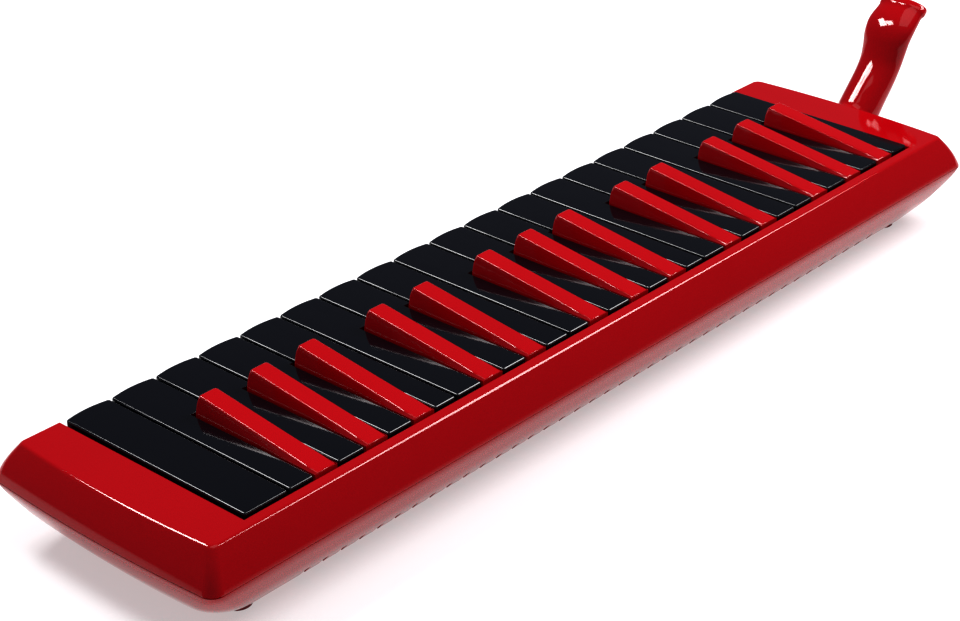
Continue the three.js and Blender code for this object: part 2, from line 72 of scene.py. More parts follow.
camera = bpy.data.objects.new("camera", bpy.data.cameras.new("camera"))
camera.data.sensor_width = 36
camera.data.lens = 88.66
camera.data.clip_start, camera.data.clip_end = 0.01, 50
camera.matrix_world = Matrix([(RIGHT[k], -DOWN[k], -FORWARD[k], EYE[k]) for k in range(3)]
                             + [(0, 0, 0, 1)])
scene.collection.objects.link(camera)
scene.camera = camera
print("camera lens", round(camera.data.lens, 2), "mm")

# %% [markdown]
# ## Floor and light
# A glossy object shows its lights as much as its own colour, so each panel has one job. The one
# overhead is broad and dim, and lifts all that faces up. Two small ones in front mirror in the
# rounded rims and draw the thin bright lines: one suits the level naturals, the other the sloping
# sharps. The one beyond the bass end lights the long rear wall. One big lamp would be simpler, but
# it would whiten the flat tops. The world gives the rest, so that no shadow goes black, and a
# gamma below one deepens the middle tones.

# %% Tones and floor
scene.view_settings.view_transform = "Standard"
scene.view_settings.gamma = 0.7
scene.view_settings.exposure = 0.08

HALF_FLOOR = 5.0
floor_mesh = bpy.data.meshes.new("floor")
floor_mesh.from_pydata([(sx * HALF_FLOOR, sy * HALF_FLOOR, 0) for sx, sy in CORNERS], [],
                       [(0, 1, 2, 3)])
floor = bpy.data.objects.new("floor", floor_mesh)
scene.collection.objects.link(floor)
print("floor", 2 * HALF_FLOOR, "m wide")


# %% Panels and world
LAMP_DISTANCE, KEYS_MIDDLE = 1.5, (0, 0, 0.03)


def panel(name, place, aim, size, watts):
    lamp = bpy.data.lights.new(name, "AREA")
    lamp.shape, lamp.size, lamp.size_y, lamp.energy = "RECTANGLE", size[0], size[1], watts
    holder = bpy.data.objects.new(name, lamp)
    holder.location = place
    holder.rotation_euler = (Vector(aim) - Vector(place)).to_track_quat("-Z", "Y").to_euler()
    scene.collection.objects.link(holder)
    print(name, "gives", watts, "W")


def around(azimuth, height):
    a, h = math.radians(azimuth), math.radians(height)
    flat = LAMP_DISTANCE * math.cos(h)
    return flat * math.cos(a), flat * math.sin(a), LAMP_DISTANCE * math.sin(h)


panel("overhead_panel", (-0.05, 0.15, 1.6), (0, 0, 0), (1.0, 1.0), 5)
panel("front_panel", around(-72, 51), KEYS_MIDDLE, (0.52, 0.26), 12)
panel("sharps_panel", around(-64, 61), KEYS_MIDDLE, (0.32, 0.24), 6)
panel("bass_end_panel", around(152, 47), KEYS_MIDDLE, (0.75, 0.5), 21)

world = bpy.data.worlds.new("studio")
scene.world = world
world.use_nodes = True
sky = world.node_tree.nodes["Background"]
sky.inputs["Color"].default_value = (0.80, 0.84, 1.0, 1)
sky.inputs["Strength"].default_value = 0.22

# %% [markdown]
# ## Arithmetic for node trees
# Node trees grow long when each sum is wired by hand. A small class around a socket gives it the
# usual signs of arithmetic, so a formula in Python adds its own Math nodes, and every other node
# comes from one method that takes its type, its settings and what goes into its sockets. Shader
# and Geometry Nodes trees can share it, because both know the same Math node.


# %% Wires and trees
class Wire:
    def __init__(self, tree, socket):
        self.tree, self.socket = tree, socket

    def sum(self, operation, *others, swap=False):
        values = [self, *others]
        if swap:
            values.reverse()
        return self.tree.node("ShaderNodeMath", {"operation": operation}, dict(enumerate(values)))

    def __add__(self, other): return self.sum("ADD", other)
    def __radd__(self, other): return self.sum("ADD", other)
    def __sub__(self, other): return self.sum("SUBTRACT", other)
    def __rsub__(self, other): return self.sum("SUBTRACT", other, swap=True)
    def __mul__(self, other): return self.sum("MULTIPLY", other)
    def __rmul__(self, other): return self.sum("MULTIPLY", other)
    def __truediv__(self, other): return self.sum("DIVIDE", other)
    def __rtruediv__(self, other): return self.sum("DIVIDE", other, swap=True)
    def __lt__(self, other): return self.sum("LESS_THAN", other)
    def __gt__(self, other): return self.sum("GREATER_THAN", other)
    def __abs__(self): return self.sum("ABSOLUTE")
    def most(self, other): return self.sum("MAXIMUM", other)
    def least(self, other): return self.sum("MINIMUM", other)
    def between(self, low, high): return ((self - low) / (high - low)).most(0.0).least(1.0)


class Tree:
    def __init__(self, nodes_in):
        self.tree = nodes_in

    def node(self, kind, settings=None, inputs=None, out=0):
        made = self.tree.nodes.new(kind)
        for key, value in (settings or {}).items():
            if key == "stops":
                ramp = made.color_ramp
                while len(ramp.elements) < len(value):
                    ramp.elements.new(0.5)
                for element, (place, colour) in zip(ramp.elements, value):
                    element.position, element.color = place, colour
            else:
                setattr(made, key, value)
        for key, value in (inputs or {}).items():
            socket = made.inputs[key]
            for one in value if isinstance(value, list) else [value]:
                if isinstance(one, Wire):
                    self.tree.links.new(one.socket, socket)
                else:
                    socket.default_value = one
        return Wire(self, made.outputs[out])

# %% [markdown]
# ## Finishes
# Moulded plastic is never one flat colour. It has a faint ripple that bends reflections, soft
# smudges where hands rest, hair scratches, and edges rubbed a little paler. Painted image maps
# could hold all that, but noise on object coordinates needs no unwrapping and has no seams. An
# edge shows in the direction of the surface: where it faces no axis squarely, it is a rounded
# edge, and that alone makes a wear mask.


# %% A material with its tree
def material(name, constants):
    made = bpy.data.materials.new(name)
    made.use_nodes = True
    shader = made.node_tree.nodes["Principled BSDF"]
    for key, value in constants.items():
        shader.inputs[key].default_value = value
    return made, Tree(made.node_tree), shader


def place_and_facing(tree):
    place = tree.node("ShaderNodeTexCoord", out="Object")
    facing = tree.node("ShaderNodeTexCoord", out="Normal")
    parts = [abs(tree.node("ShaderNodeSeparateXYZ", inputs={0: facing}, out=axis))
             for axis in range(3)]
    return place, 1 - parts[0].most(parts[1]).most(parts[2])


def noise(tree, place, scale, detail=3.0, stretch=None):
    if stretch:
        place = tree.node("ShaderNodeMapping", inputs={"Vector": place, "Scale": stretch})
    return tree.node("ShaderNodeTexNoise", inputs={
        "Vector": place, "Scale": scale, "Detail": detail})


def blend_colours(tree, amount, first, second):
    return tree.node("ShaderNodeMix", {"data_type": "RGBA"},
                     {0: amount, 6: first, 7: second}, out=2)


def feed(tree, shader, **wires):
    for key, wire in wires.items():
        tree.tree.links.new(wire.socket, shader.inputs[key.replace("_", " ")])


def bump(tree, shader, height, distance):
    feed(tree, shader, Normal=tree.node("ShaderNodeBump", inputs={
        "Height": height, "Distance": distance, "Strength": 1.0}))


# %% Glossy moulded plastic
RIPPLE, DUST, DEEPER = 0.000004, 0.02, 0.86


def glossy_plastic(name, colour, worn, roughness, wear=0.5, specular=0.36):
    made, tree, shader = material(name, {"Specular IOR Level": specular, "Coat Roughness": 0.03})
    place, edge = place_and_facing(tree)
    smudge = noise(tree, place, 22, 4).between(0.45, 0.75)
    streak = noise(tree, place, 90, 3, (0.12, 1, 1)).between(0.58, 0.72)
    rub = edge.between(0.08, 0.26) * noise(tree, place, 160, 4).between(0.42, 0.62)
    tone = noise(tree, place, 9, 2)
    deep = tuple(DEEPER * c for c in colour[:3]) + (1,)
    base = blend_colours(tree, tone, deep, colour)
    base = blend_colours(tree, rub * wear + smudge * DUST, base, worn)
    feed(tree, shader, Base_Color=base,
         Roughness=roughness + smudge * 0.02 + streak * 0.03 + rub * (0.12 * wear),
         Coat_Weight=0.06 - smudge * 0.03)
    grain = noise(tree, place, 700, 2) * 0.2 + noise(tree, place, 120, 2)
    bump(tree, shader, grain, RIPPLE)
    return made


case_red = glossy_plastic("case_red", (0.40, 0.001, 0.006, 1), (0.50, 0.02, 0.03, 1), 0.05,
                          wear=0.05)
key_red = glossy_plastic("key_red", (0.44, 0.0015, 0.007, 1), (0.60, 0.05, 0.06, 1), 0.10,
                         wear=0.15)
key_black = glossy_plastic("key_black", (0.0025, 0.0028, 0.0055, 1), (0.05, 0.052, 0.06, 1),
                           0.08, specular=0.45)
print("glossy finishes:", case_red.name, key_red.name, key_black.name)


# %% Duller finishes: inner plastic, rubber, felt, brass and steel
# Scale is how fine the grain is, and depth is how high it stands, in metres.
def dull(name, colour, worn, roughness, scale, depth, metallic=0.0, stretch=None, soft=0.0):
    made, tree, shader = material(name, {"Metallic": metallic, "Sheen Weight": soft})
    place, edge = place_and_facing(tree)
    grain = noise(tree, place, scale, 5, stretch)
    patch = noise(tree, place, 30, 3).between(0.4, 0.7)
    rub = edge.between(0.06, 0.25) * noise(tree, place, 140, 3).between(0.4, 0.6)
    base = blend_colours(tree, grain.between(0.3, 0.7) * 0.5 + rub * 0.4, colour, worn)
    feed(tree, shader, Base_Color=base, Roughness=roughness + patch * 0.12 + grain * 0.08)
    bump(tree, shader, grain, depth)
    return made


foot_red = dull("foot_red", (0.17, 0.004, 0.010, 1), (0.24, 0.02, 0.03, 1), 0.55, 500, 0.00006)
inner_plastic = dull("inner_plastic", (0.28, 0.29, 0.30, 1), (0.42, 0.43, 0.44, 1), 0.45, 400,
                     0.00004)
black_rubber = dull("black_rubber", (0.012, 0.012, 0.013, 1), (0.05, 0.05, 0.05, 1), 0.75, 450,
                    0.00005)
felt = dull("felt", (0.20, 0.01, 0.02, 1), (0.34, 0.06, 0.07, 1), 0.85, 900, 0.0004, soft=0.6)
reed_brass = dull("reed_brass", (0.62, 0.40, 0.12, 1), (0.80, 0.60, 0.28, 1), 0.25, 300, 0.00002,
                  metallic=1.0, stretch=(0.1, 1, 1))
steel = dull("steel", (0.46, 0.47, 0.48, 1), (0.62, 0.63, 0.65, 1), 0.24, 350, 0.00002,
             metallic=1.0, stretch=(1, 1, 0.1))

# %% The floor's finish
pale, tree, shader = material("studio_floor", {"Roughness": 0.6, "Specular IOR Level": 0.2,
                                               "Emission Strength": 0.50})
shader.inputs["Emission Color"].default_value = (1, 1, 1, 1)
place = tree.node("ShaderNodeTexCoord", out="Object")
feed(tree, shader, Base_Color=blend_colours(tree, noise(tree, place, 3), (0.48, 0.48, 0.49, 1),
                                            (0.52, 0.52, 0.52, 1)))
floor.data.materials.append(pale)
print("materials:", len(bpy.data.materials))

# %% [markdown]
# ## Making and keeping a piece
# Each finished piece is one plain mesh whose object stays at the origin, unturned and unscaled.
# Modifiers are used as tools and then applied. Where a piece asks for it, a Bevel rounds the edges
# that meet at more than 30 degrees. Edges over 50 degrees stay sharp in the shading, and weighted
# normals keep the large flat faces flat beside their rounded edges.


# %% Finish a mesh and give it to a body
def baked(obj):
    obj_now = obj.evaluated_get(bpy.context.evaluated_depsgraph_get())
    mesh = bpy.data.meshes.new_from_object(obj_now, preserve_all_data_layers=True,
                                           depsgraph=bpy.context.evaluated_depsgraph_get())
    obj.modifiers.clear()
    old, obj.data = obj.data, mesh
    bpy.data.meshes.remove(old)
    return obj


def show(name, shape):
    mesh = bpy.data.meshes.new(name)
    shape.to_mesh(mesh)
    shape.free()
    obj = bpy.data.objects.new(name, mesh)
    scene.collection.objects.link(obj)
    return obj


def drop(*objects):
    for obj in objects:
        bpy.data.objects.remove(obj, do_unlink=True)


BEVEL_ANGLE, SHARP_ANGLE = math.radians(30), math.radians(50)


def soften(obj, width=0, segments=3):
    if width:
        bevel = obj.modifiers.new("edges", "BEVEL")
        bevel.width, bevel.segments, bevel.limit_method = width, segments, "ANGLE"
        bevel.angle_limit = BEVEL_ANGLE
        bevel.use_clamp_overlap = True
    baked(obj)
    obj.data.shade_smooth()
    obj.data.set_sharp_from_angle(angle=SHARP_ANGLE)
    weigh = obj.modifiers.new("flats", "WEIGHTED_NORMAL")
    weigh.keep_sharp, weigh.weight = True, 70
    return baked(obj)


def hand_over(obj, finish, body, slot, *nodes):
    obj.data.materials.clear()
    obj.data.materials.append(finish)
    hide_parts(*nodes)
    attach(obj, body)
    print(obj.name, len(obj.data.polygons), "faces on", body)
    return obj


# %% Join and cut with closed tools
def carve(obj, *steps):
    for operation, tool in steps:
        knife = obj.modifiers.new("cut", "BOOLEAN")
        knife.operation, knife.solver, knife.object = operation, "EXACT", tool
    baked(obj)
    drop(*{tool for _, tool in steps})
    return obj


def loft(name, rings, back_to_start=False):
    shape = bmesh.new()
    loops = [[shape.verts.new(Vector(p) * MM) for p in ring] for ring in rings]
    for low, high in zip(loops, loops[1:] + (loops[:1] if back_to_start else [])):
        for k, point in enumerate(low):
            n = (k + 1) % len(low)
            shape.faces.new((point, low[n], high[n], high[k]))
    if not back_to_start:
        shape.faces.new(reversed(loops[0]))
        shape.faces.new(loops[-1])
    bmesh.ops.recalc_face_normals(shape, faces=shape.faces)
    return show(name, shape)


def block(name, x0, x1, y0, y1, z0, z1):
    return loft(name, [[(x0, y0, z), (x1, y0, z), (x1, y1, z), (x0, y1, z)] for z in (z0, z1)])


def turns(sides):
    return [2 * math.pi * k / sides for k in range(sides)]


def rod(name, x0, x1, y, z, r, sides=64):
    return loft(name, [[(x, y + r * math.cos(a), z + r * math.sin(a)) for a in turns(sides)]
                       for x in (x0, x1)])


def upright(name, x, y, z0, z1, r, sides=40):
    return loft(name, [[(x + r * math.cos(a), y + r * math.sin(a), z) for a in turns(sides)]
                       for z in (z0, z1)])


# %% [markdown]
# ## The case
# The real case is two moulded shells that meet at a thin seam, where it is widest. Its plan is a
# long rectangle with slightly bowed ends and round corners. From one height to the next only its
# size and its corners change: it widens down to the seam, then turns under in a wide curve. A box
# with a bevel can't do that, but a loft can: one outline for each height, skinned. A short table
# gives the size at each height, and a weighted mean smooths the table's corners. The keyboard's
# well is cut by a tool that flares at its rim, which leaves the rounded inner edge in one step.

# %% The case's outline
TOP_Z, SEAM_Z, FLOOR_Z = 38.9, 25.2, 3.0
HALF_LENGTH, HALF_WIDTH, END_BOW = 214.3, 50.5, 2.3
TOP_CORNER, SEAM_CORNER, LOW_CORNER = 2.8, 5, 13
CORNER_STEPS, END_STEPS = 10, 12
WALL, SMOOTHING, SEAM_SMOOTHING = 2.2, 2.2, 0.3
# Each row is a height and how far the outline reaches past the half sizes there.
PROFILE = [(38.9, -0.9), (37, 0.62), (34.5, 2.4), (31.5, 4.25), (28.5, 5.75), (25.2, 7),
           (23, 6.4), (21, 5.4), (17, 3.1), (13, 0.6), (9, -2.5), (6, -5.2), (3, -7.8)]


def reach_at(z):
    for (z1, r1), (z0, r0) in zip(PROFILE, PROFILE[1:]):
        if z >= z0:
            return r0 + (r1 - r0) * (z - z0) / (z1 - z0)
    return PROFILE[-1][1]


def eased(z):
    to_ends = min(z - FLOOR_Z, TOP_Z - z, abs(z - SEAM_Z) + SEAM_SMOOTHING)
    span = max(0.0, min(SMOOTHING, to_ends))
    weights = {k / 4: 1.25 - abs(k / 4) for k in range(-4, 5)}
    total = sum(reach_at(z + span * step) * weight for step, weight in weights.items())
    return total / sum(weights.values())


def outline(z, reach, inset=0.0):
    grow = reach - inset
    hx, hy = HALF_LENGTH + grow, HALF_WIDTH + grow
    if z > SEAM_Z:
        r = SEAM_CORNER + (TOP_CORNER - SEAM_CORNER) * (z - SEAM_Z) / (TOP_Z - SEAM_Z)
    else:
        r = SEAM_CORNER + (LOW_CORNER - SEAM_CORNER) * (SEAM_Z - z) / (SEAM_Z - FLOOR_Z)
    points = []

    def add(x, y):
        points.append((CENTRE_X + x + math.copysign(END_BOW * (1 - (y / hy) ** 2), x), y, z))

    for sx, sy, start in ((1, 1, 0), (-1, 1, 90), (-1, -1, 180), (1, -1, 270)):
        for k in range(CORNER_STEPS + 1):
            a = math.radians(start + 90 * k / CORNER_STEPS)
            add(sx * (hx - r) + r * math.cos(a), sy * (hy - r) + r * math.sin(a))
        if sx * sy < 0:
            for k in range(1, END_STEPS):
                add(sx * hx, sy * (hy - r) * (1 - 2 * k / END_STEPS))
    return points


def spread(low, high, count):
    return [low + (high - low) * k / count for k in range(count + 1)]


print("the case reaches", round(eased(SEAM_Z), 2), "mm past its half sizes at the seam")

# %% The upper shell's skin
SEAM_GAP, SEAM_STEP, SEAM_ROUND = 0.07, 0.16, 0.25
FILLET, FILLET_LEAN, FILLET_REACH = 1.0, 0.65, 1.75
skin = [outline(SEAM_Z + SEAM_GAP, eased(SEAM_Z) - SEAM_STEP),
        outline(SEAM_Z + SEAM_ROUND, eased(SEAM_Z + SEAM_ROUND))]
skin += [outline(z, eased(z)) for z in spread(SEAM_Z + 0.6, TOP_Z - FILLET, 14)]
fillet_start = eased(TOP_Z - FILLET)
for t in spread(0.17, 1, 5):
    bent = fillet_start - 2 * t * (1 - t) * FILLET_LEAN - t * t * FILLET_REACH
    height = (1 - t) ** 2 * (TOP_Z - FILLET) + (1 - (1 - t) ** 2) * TOP_Z
    skin.append(outline(height, bent))
upper = loft("case_top_shell", skin)
print("upper skin:", len(skin), "outlines of", len(skin[0]), "points")

# %% The room inside the upper shell
WELL_LEFT, WELL_RIGHT = CENTRE_X - 195.35, CENTRE_X + 195.35
WELL_FRONT, WELL_REAR, WELL_FLOOR, WELL_WALL = -70, 45.2, 31, 1.3
RAIL_HALF, RAIL_FRONT, RAIL_BACK, RAIL_LOW, RAIL_HIGH = 206, -55, -49.1, 28.8, 31.5
ABOVE = 60
room = loft("room", [outline(z, eased(max(z, SEAM_Z)), WALL)
                     for z in [SEAM_Z - 1] + spread(SEAM_Z, TOP_Z - WALL, 8)])
well_block = block("well_block", WELL_LEFT - WELL_WALL, WELL_RIGHT + WELL_WALL,
                   WELL_FRONT, WELL_REAR + WELL_WALL, WELL_FLOOR, ABOVE)
rail_block = block("rail_block", CENTRE_X - RAIL_HALF, CENTRE_X + RAIL_HALF,
                   RAIL_FRONT, RAIL_BACK, RAIL_LOW, RAIL_HIGH)
carve(room, ("DIFFERENCE", well_block), ("DIFFERENCE", rail_block))
print("room:", len(room.data.polygons), "faces")

# %% The keyboard's well
MOUTH_Y, SOCKET_Z, SOCKET_R = -5.0, 26.5, 9.6
RIM = 0.5


def well_ring(z, flare):
    left, right, rear = WELL_LEFT - flare, WELL_RIGHT + flare, WELL_REAR + flare
    return [(left, WELL_FRONT, z), (right, WELL_FRONT, z), (right, rear, z), (left, rear, z)]


def socket_tool(name):
    return rod(name, CENTRE_X - 226, CENTRE_X - 200, MOUTH_Y, SOCKET_Z, SOCKET_R)


rim = [(TOP_Z - RIM + RIM * math.sin(a), RIM * (1 - math.cos(a)))
       for a in (math.radians(step) for step in (0, 22.5, 45, 67.5, 90))]
well = loft("well", [well_ring(WELL_FLOOR, 0)] + [well_ring(z, flare) for z, flare in rim]
            + [well_ring(ABOVE, RIM)])
deep_well = block("deep_well", WELL_LEFT, WELL_RIGHT, RAIL_BACK, WELL_REAR,
                  WELL_FLOOR - 1, WELL_FLOOR + 2)
carve(upper, ("DIFFERENCE", room), ("DIFFERENCE", well), ("DIFFERENCE", deep_well),
      ("DIFFERENCE", socket_tool("socket_top")))
soften(upper)
hand_over(upper, case_red, "case", "case_red", "case_top")

# %% [markdown]
# ## The lower shell and its vents
# The lower shell is the same loft turned downwards. Along its rear edge runs a row of vents, 39
# equal slots at an even pitch. Cutting 39 boxes by hand works, but a row is a rule, so a Geometry
# Nodes tree makes it: a line of points, one cutter on each point, and one Boolean. Its count,
# pitch and slot size stay as named inputs.


# %% A Geometry Nodes tree with named inputs
KINDS = {float: "NodeSocketFloat", int: "NodeSocketInt"}


class Recipe(Tree):
    def __init__(self, name, **inputs):
        super().__init__(bpy.data.node_groups.new(name, "GeometryNodeTree"))
        face = self.tree.interface
        face.new_socket("Geometry", in_out="INPUT", socket_type="NodeSocketGeometry")
        face.new_socket("Geometry", in_out="OUTPUT", socket_type="NodeSocketGeometry")
        self.keys = {}
        for key, value in inputs.items():
            socket = face.new_socket(key.replace("_", " "), in_out="INPUT",
                                     socket_type=KINDS[type(value)])
            socket.default_value = value
            self.keys[key] = socket.identifier
        self.entry = self.tree.nodes.new("NodeGroupInput")

    def __getattr__(self, key):
        if key in self.__dict__.get("keys", {}):
            return Wire(self, self.entry.outputs[key.replace("_", " ")])
        raise AttributeError(key)

    def given(self):
        return Wire(self, self.entry.outputs["Geometry"])

    def vector(self, x=0.0, y=0.0, z=0.0):
        return self.node("ShaderNodeCombineXYZ", inputs={0: x, 1: y, 2: z})

    def cube(self, x0, x1, y0, y1, z0, z1, counts=(2, 2, 2)):
        size = self.vector(x1 - x0, y1 - y0, z1 - z0)
        made = self.node("GeometryNodeMeshCube", inputs={
            "Size": size, **{"Vertices " + axis: n for axis, n in zip("XYZ", counts)}})
        return self.move(made, self.vector((x0 + x1) / 2, (y0 + y1) / 2, (z0 + z1) / 2))

    def move(self, geometry, shift):
        return self.node("GeometryNodeTransform", inputs={
            "Geometry": geometry, "Translation": shift})

    def boolean(self, operation, first, *others):
        kept = {"Mesh 1": first} if operation == "DIFFERENCE" else {}
        rest = list(others) if kept else [first, *others]
        return self.node("GeometryNodeMeshBoolean", {"operation": operation, "solver": "EXACT"},
                         {**kept, "Mesh 2": rest, "Self Intersection": True})

    def finish(self, geometry, finish):
        real = self.node("GeometryNodeRealizeInstances", inputs={0: geometry})
        done = self.node("GeometryNodeSetMaterial", inputs={"Geometry": real, "Material": finish})
        leave = self.tree.nodes.new("NodeGroupOutput")
        self.tree.links.new(done.socket, leave.inputs["Geometry"])
        return self

    def run(self, obj, **values):
        step = obj.modifiers.new(self.tree.name, "NODES")
        step.node_group = self.tree
        for key, value in values.items():
            step[self.keys[key]] = value
        return baked(obj)


def points_at(name, places=()):
    spots = bmesh.new()
    for x, y, z in places:
        spots.verts.new((x * MM, y * MM, z * MM))
    return show(name, spots)


# %% Row of slots
SLOT_LOW, SLOT_HIGH = -0.001, 0.0084
slots = Recipe("Slot row", Count=39, Pitch=0.0089, Width=0.0024, Front=0.0, Rear=0.0, Middle=0.0)
line = slots.node("GeometryNodeMeshLine", inputs={
    "Count": slots.Count, "Offset": slots.vector(slots.Pitch),
    "Start Location": slots.vector(slots.Middle - (slots.Count - 1) * slots.Pitch / 2)})
half = slots.Width / 2
cutter = slots.cube(-1 * half, half, slots.Front, slots.Rear, SLOT_LOW, SLOT_HIGH)
row = slots.node("GeometryNodeInstanceOnPoints", inputs={"Points": line, "Instance": cutter})
real_row = slots.node("GeometryNodeRealizeInstances", inputs={0: row})
slots.finish(slots.boolean("DIFFERENCE", slots.given(), real_row), case_red)
print("slot row tree:", len(slots.tree.nodes), "nodes")

# %% The lower shell's skin and where its screws go
skin = [outline(z, eased(z)) for z in spread(FLOOR_Z, SEAM_Z - SEAM_ROUND, 24)]
skin.append(outline(SEAM_Z - SEAM_GAP, eased(SEAM_Z) - SEAM_STEP))
lower = loft("case_bottom_shell", skin)
room = loft("room", [outline(z, eased(z), WALL)
                     for z in spread(FLOOR_Z + WALL, SEAM_Z + 0.5, 12)])
screw_spots = [(CENTRE_X + sx * 199.3, sy * 22) for sx, sy in CORNERS]
screw_spots += [(CENTRE_X - 65, 18), (CENTRE_X + 65, 18)]
print("screws at", [(round(x, 1), y) for x, y in screw_spots])

# %% The lower shell's posts, holes and vents
# A post or a hole is a lower height, an upper height and a radius.
POST, RECESS, SHANK_HOLE = (4, 10.2, 4.5), (2, 8.4, 3.0), (2, 12, 1.5)

SPIT_Y, SPIT_Z, SPIT_R, SPIT_HOLE_R = 25, 15, 4, 4.4
posts = [("UNION", upright("post", x, y, *POST)) for x, y in screw_spots]
holes = [("DIFFERENCE", upright("recess", x, y, *RECESS)) for x, y in screw_spots]
holes += [("DIFFERENCE", upright("shank_hole", x, y, *SHANK_HOLE)) for x, y in screw_spots]
holes.append(("DIFFERENCE", socket_tool("socket_hole")))
holes.append(("DIFFERENCE", rod("spit_hole", CENTRE_X - 226, CENTRE_X - 213,
                                SPIT_Y, SPIT_Z, SPIT_HOLE_R)))
carve(lower, ("DIFFERENCE", room), *posts, *holes)
slots.run(lower, Front=34.5 * MM, Rear=46 * MM, Middle=CENTRE_X * MM)
soften(lower)
hand_over(lower, case_red, "case", "case_red", "case_bottom")

# %% [markdown]
# ## Screws and feet
# Six cross-head screws hold the shells together and four round feet carry the case. Copies could
# be made by a loop, but every one of them is the same thing at another place, which is just what
# instancing on points is for: one head, one shank, one cross, then a point for each.

# %% Screws
SCREW_Z = 6.2
screws = Recipe("Cross-head screw", Head=0.0026, Height=0.0019, Shank=0.0012, Length=0.0138,
                Cross=0.003, Slit=0.0007)


def upright_rod(recipe, radius, z0, z1, sides=32):
    made = recipe.node("GeometryNodeMeshCylinder", inputs={
        "Vertices": sides, "Radius": radius, "Depth": z1 - z0})
    return recipe.move(made, recipe.vector(z=(z0 + z1) / 2))


head = upright_rod(screws, screws.Head, 0.0, screws.Height)
shank = upright_rod(screws, screws.Shank, screws.Height * 0.5, screws.Length, 16)
arms = [screws.cube(-1 * a / 2, a / 2, -1 * b / 2, b / 2, -1 * screws.Height, screws.Height * 0.5)
        for a, b in ((screws.Cross, screws.Slit), (screws.Slit, screws.Cross))]
screw = screws.boolean("DIFFERENCE", screws.boolean("UNION", head, shank), *arms)
screws.finish(screws.node("GeometryNodeInstanceOnPoints", inputs={
    "Points": screws.given(), "Instance": screw}), steel)
screw_row = screws.run(points_at("case_screws", [(x, y, SCREW_Z) for x, y in screw_spots]))
soften(screw_row, 0.25 * MM, 2)
hand_over(screw_row, steel, "case", "steel", *[f"case_screw_{k}" for k in (1, 2, 3, 4)],
          "board_screw_1", "board_screw_2")

# %% Feet
feet = Recipe("Round foot", Radius=0.0055, Height=0.0027, Peg=0.002, Peg_top=0.0062)
pad = upright_rod(feet, feet.Radius, 0.0, feet.Height, 48)
peg = upright_rod(feet, feet.Peg, feet.Height * 0.5, feet.Peg_top, 20)
feet.finish(feet.node("GeometryNodeInstanceOnPoints", inputs={
    "Points": feet.given(), "Instance": feet.boolean("UNION", pad, peg)}), foot_red)
foot_set = feet.run(points_at("feet", [(CENTRE_X + sx * 192.4, sy * 35.2, 0)
                                       for sx, sy in CORNERS]))
soften(foot_set, 0.5 * MM, 4)
hand_over(foot_set, foot_red, "case", "foot_rubber", *[f"foot_{k}" for k in (1, 2, 3, 4)])

# %% [markdown]
# ## The naturals
# A natural key is a thin moulded cap with a lip in front, hollow below, and cut back on the sides
# where a sharp passes it. All 19 follow one rule with different sides, so one tree makes them:
# a block, less its hollow, less its two notches, and a front bowed by a parabola. The corners
# and the rim are rounded afterwards in the mesh, because Geometry Nodes have no bevel of their
# own. A Bevel modifier at the very end would be less work, but it shrinks every bevel to suit the
# shortest edge on the piece, and the lever has short ones, so the rim comes before the lever.

# %% Where the keys are
PITCH, NATURALS, GAP = 20.5, 19, 0.9
KEY_TOP, KEY_FRONT, KEY_REAR = 40.0, -47.4, 44.25
SHARP_FRONT, SHARP_REAR = -16.2, 44.2
SHARP_FOOT, SHARP_CROWN = 5.2, 4.05
SIDE_GAP, FRONT_GAP = 0.65, 1.05
LETTERS = "FGABCDE"
# How far each sharp stands off the line between its two naturals, named by the lower one.
OFFSETS = {"C": -2.1, "D": 1.3, "F": -3.7, "G": -0.7, "A": 3.1}


def edge_x(k):
    return CENTRE_X + (k - NATURALS / 2) * PITCH


def note(k, mark=""):
    return LETTERS[k % 7] + mark + str(3 + (k + 3) // 7)


sharps = {k: edge_x(k) + OFFSETS[LETTERS[(k - 1) % 7]]
          for k in range(1, NATURALS) if LETTERS[(k - 1) % 7] in OFFSETS}
start_of_g3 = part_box("key_G3")[0][0] / MM
print("G3 begins", round(edge_x(1) + GAP / 2 - start_of_g3, 3), "mm from its place in the frame")

# %% One recipe for every natural
naturals = Recipe("Natural key", Left=0.0, Right=0.0, Rear_left=0.0, Rear_right=0.0,
                  Front=KEY_FRONT * MM, Notch=(SHARP_FRONT - FRONT_GAP) * MM,
                  Rear=KEY_REAR * MM, Top=KEY_TOP * MM, Depth=0.0054, Lip=0.009,
                  Lip_wall=0.001, Wall=0.0015, Roof=0.0018, Bow=0.0012)
g = naturals
far = 0.005  # how far a cutter passes through
low = g.Top - g.Lip - far
whole = g.cube(g.Left, g.Right, g.Front, g.Rear, g.Top - g.Lip, g.Top, (17, 2, 2))
under = g.cube(g.Left - far, g.Right + far, g.Front + g.Lip_wall, g.Rear + far, low,
               g.Top - g.Depth)
left = g.cube(g.Left - far, g.Rear_left, g.Notch, g.Rear + far, low, g.Top + far)
right = g.cube(g.Rear_right, g.Right + far, g.Notch, g.Rear + far, low, g.Top + far)
front_room = g.cube(g.Left + g.Wall, g.Right - g.Wall, g.Front + g.Wall, g.Notch - g.Wall,
                    g.Top - g.Depth - far, g.Top - g.Roof)
rear_room = g.cube(g.Rear_left + g.Wall, g.Rear_right - g.Wall, g.Notch - g.Wall * 2,
                   g.Rear - g.Wall, g.Top - g.Depth - far, g.Top - g.Roof)
cap = g.boolean("DIFFERENCE", whole, under, left, right, front_room, rear_room)
place = g.node("GeometryNodeInputPosition")
x, y = [g.node("ShaderNodeSeparateXYZ", inputs={0: place}, out=axis) for axis in (0, 1)]
t = (x - g.Left) / (g.Right - g.Left)
bow = -4 * g.Bow * t * (1 - t) * (y < g.Front + g.Wall + 0.0001)
cap = g.node("GeometryNodeSetPosition", inputs={"Geometry": cap, "Offset": g.vector(y=bow)})
g.finish(cap, key_black)
